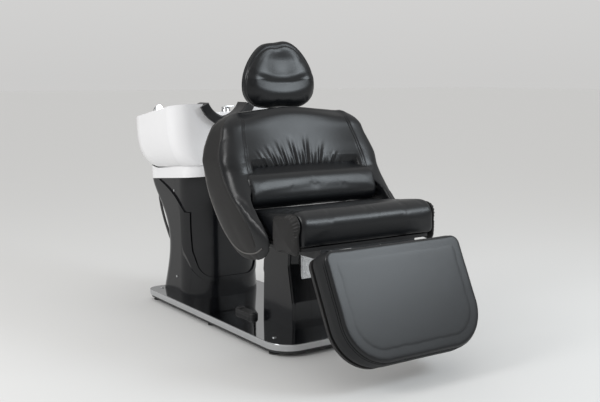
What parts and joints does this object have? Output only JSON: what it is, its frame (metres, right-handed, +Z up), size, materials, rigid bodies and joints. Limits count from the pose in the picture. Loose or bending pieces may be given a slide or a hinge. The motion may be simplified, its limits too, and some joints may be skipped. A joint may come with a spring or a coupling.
{
  "type": "hair washing bed",
  "caption": "Electric reclining salon wash bed: padded chair with headrest and legrest on a steel floor plate, joined to a pedestal with a tilted ceramic basin.",
  "frame": {"origin": "on the floor, under the middle of the whole bed", "axes": "+Z up, +Y from the chair towards the basin, so the sitter faces -Y and the sitter's right is -X"},
  "size_m": [0.7042, 1.8036, 1.1501],
  "materials": {
    "pad_leather": "satin black, soft grain",
    "legrest_leather": "satin black",
    "side_leather": "charcoal covering with pale piping",
    "shell_plastic": "fine moulded texture",
    "gloss_black": "high gloss",
    "polished_steel": "mirror polished top, brushed skirt",
    "frame_steel": "black powder coat",
    "bright_steel": "zinc plated",
    "chrome": "polished",
    "glaze": "white gloss glaze",
    "neck_rubber": "soft satin",
    "foot_rubber": "matt",
    "hose_rubber": "satin",
    "plywood": "black stained board",
    "grey_plastic": "plain"
  },
  "bodies": {
    "root": {"base_cover": "polished_steel", "base_frame": "frame_steel", "levelling_feet": "foot_rubber", "cover_caps": "gloss_black", "pedestal_front_shell": "gloss_black", "pedestal_rear_shell": "gloss_black", "pedestal_rib": "gloss_black", "pedestal_post": "frame_steel", "control_box": "grey_plastic", "pedestal_screws": "chrome", "basin": "glaze", "basin_apron": "glaze", "neck_rest": "neck_rubber", "waste_pipe": "grey_plastic", "drain_strainer": "chrome", "mixer_body": "chrome", "handset_socket": "chrome", "hose_gland_upper": "neck_rubber", "hose_gland_lower": "neck_rubber", "shower_hose": "hose_rubber", "column_right_shell": "gloss_black", "column_left_shell": "gloss_black", "column_post": "frame_steel", "foot_switch": "gloss_black", "seat_frame": "frame_steel", "recline_actuator": "frame_steel", "seat_board": "plywood", "seat_cushion": "pad_leather", "seat_panel_right": "side_leather", "seat_panel_left": "side_leather", "legrest_pins": "bright_steel"},
    "backrest": {"back_shaft": "bright_steel", "backrest_arms": "frame_steel", "backrest_board": "plywood", "backrest_shell": "shell_plastic", "backrest_cushion": "pad_leather", "lumbar_roll": "pad_leather", "wing_right": "pad_leather", "wing_left": "pad_leather", "wing_panel_right": "side_leather", "wing_panel_left": "side_leather", "headrest_guide": "shell_plastic"},
    "headrest_mast": {"headrest_bar": "bright_steel"},
    "headrest": {"headrest_plate": "frame_steel", "headrest_pin": "bright_steel", "headrest_cushion": "pad_leather"},
    "legrest": {"legrest_board": "plywood", "legrest_cushion": "legrest_leather", "legrest_arms": "frame_steel"},
    "rod": {"actuator_rod": "bright_steel"},
    "dome": {"mixer_dome": "chrome"},
    "lever": {"mixer_lever": "chrome"},
    "handset": {"handset": "chrome"},
    "front_pad": {"foot_pad_front": "gloss_black"},
    "rear_pad": {"foot_pad_rear": "gloss_black"}
  },
  "joints": [
    {"name": "backrest_recline", "type": "hinge", "parent": "root", "child": "backrest", "pos_m": [0, -0.212, 0.442], "axis": [-1, 0, 0], "range_deg": [0, 32]},
    {"name": "legrest_lift", "type": "hinge", "parent": "root", "child": "legrest", "pos_m": [0, -0.626, 0.416], "axis": [-1, 0, 0], "range_deg": [0, 60]},
    {"name": "actuator_stroke", "type": "slide", "parent": "root", "child": "rod", "axis": [0, -1, 0], "range_m": [0, 0.036]},
    {"name": "headrest_height", "type": "slide", "parent": "backrest", "child": "headrest_mast", "axis": [0, 0, 1], "range_m": [0, 0.05]},
    {"name": "headrest_tilt", "type": "hinge", "parent": "headrest_mast", "child": "headrest", "pos_m": [0, 0.034, 0.948], "axis": [1, 0, 0], "range_deg": [-12, 20]},
    {"name": "mixer_turn", "type": "hinge", "parent": "root", "child": "dome", "pos_m": [0.182, 0.728, 0.84112], "axis": [0, 0.165, 0.9863], "range_deg": [-45, 45]},
    {"name": "mixer_lift", "type": "hinge", "parent": "dome", "child": "lever", "pos_m": [0.182, 0.72012, 0.86839], "axis": [-1, 0, 0], "range_deg": [0, 20]},
    {"name": "handset_lift", "type": "slide", "parent": "root", "child": "handset", "axis": [0, 0.165, 0.9863], "range_m": [0, 0.05]},
    {"name": "front_pad_press", "type": "slide", "parent": "root", "child": "front_pad", "axis": [0, 0, -1], "range_m": [0, 0.003], "stiffness_N_per_m": 800, "springref_m": -0.001},
    {"name": "rear_pad_press", "type": "slide", "parent": "root", "child": "rear_pad", "axis": [0, 0, -1], "range_m": [0, 0.003], "stiffness_N_per_m": 800, "springref_m": -0.001}
  ],
  "couplings": [
    {"joint": "legrest_lift", "follows": "backrest_recline", "ratio": 1.875},
    {"joint": "actuator_stroke", "follows": "backrest_recline", "m_per_rad": 0.06366}
  ]
}
